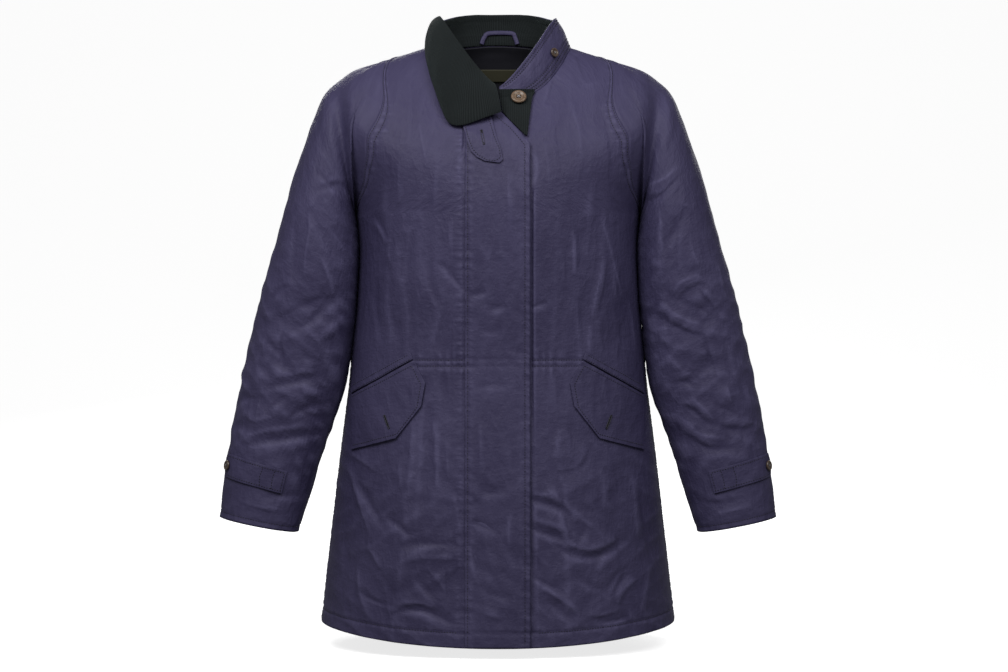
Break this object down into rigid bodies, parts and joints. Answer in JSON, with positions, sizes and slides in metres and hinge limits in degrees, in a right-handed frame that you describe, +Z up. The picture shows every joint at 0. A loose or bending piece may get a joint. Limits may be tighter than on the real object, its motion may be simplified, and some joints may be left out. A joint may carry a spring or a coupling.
{
  "type": "waxed cotton coat",
  "caption": "Waxed cotton raglan three-quarter coat with a corduroy collar, storm fly, pointed pocket flaps and cuff tabs, filled out as worn.",
  "frame": {"origin": "midway between the two side neck points, where the coat rests on the wearer's shoulders", "axes": "+Z up the wearer's back, the front looks along -Y, +X towards the wearer's left"},
  "size_m": [0.798, 0.3351, 0.9106],
  "materials": {
    "waxed_cotton": "waxed, soft sheen",
    "corduroy": "fine cord, matt",
    "lining": "smooth, matt",
    "label": "plain woven, matt",
    "horn_button": "satin",
    "brown_button": "satin"
  },
  "bodies": {
    "root": {"back": "waxed_cotton", "front_right": "waxed_cotton", "front_left": "waxed_cotton", "sleeve_right": "waxed_cotton", "sleeve_left": "waxed_cotton", "storm_fly": "waxed_cotton", "throat_tab": "waxed_cotton", "pocket_flap_right": "waxed_cotton", "pocket_flap_left": "waxed_cotton", "pocket_band_right": "waxed_cotton", "pocket_band_left": "waxed_cotton", "collar_stand": "waxed_cotton", "cuff_tab_right": "waxed_cotton", "cuff_tab_left": "waxed_cotton", "hanger_loop": "waxed_cotton", "collar_facing": "corduroy", "collar_fall": "corduroy", "collar_tip": "corduroy", "back_lining": "lining", "neck_label": "label", "neck_button": "horn_button", "collar_button": "brown_button", "cuff_button_right": "brown_button", "cuff_button_left": "brown_button"}
  },
  "joints": []
}
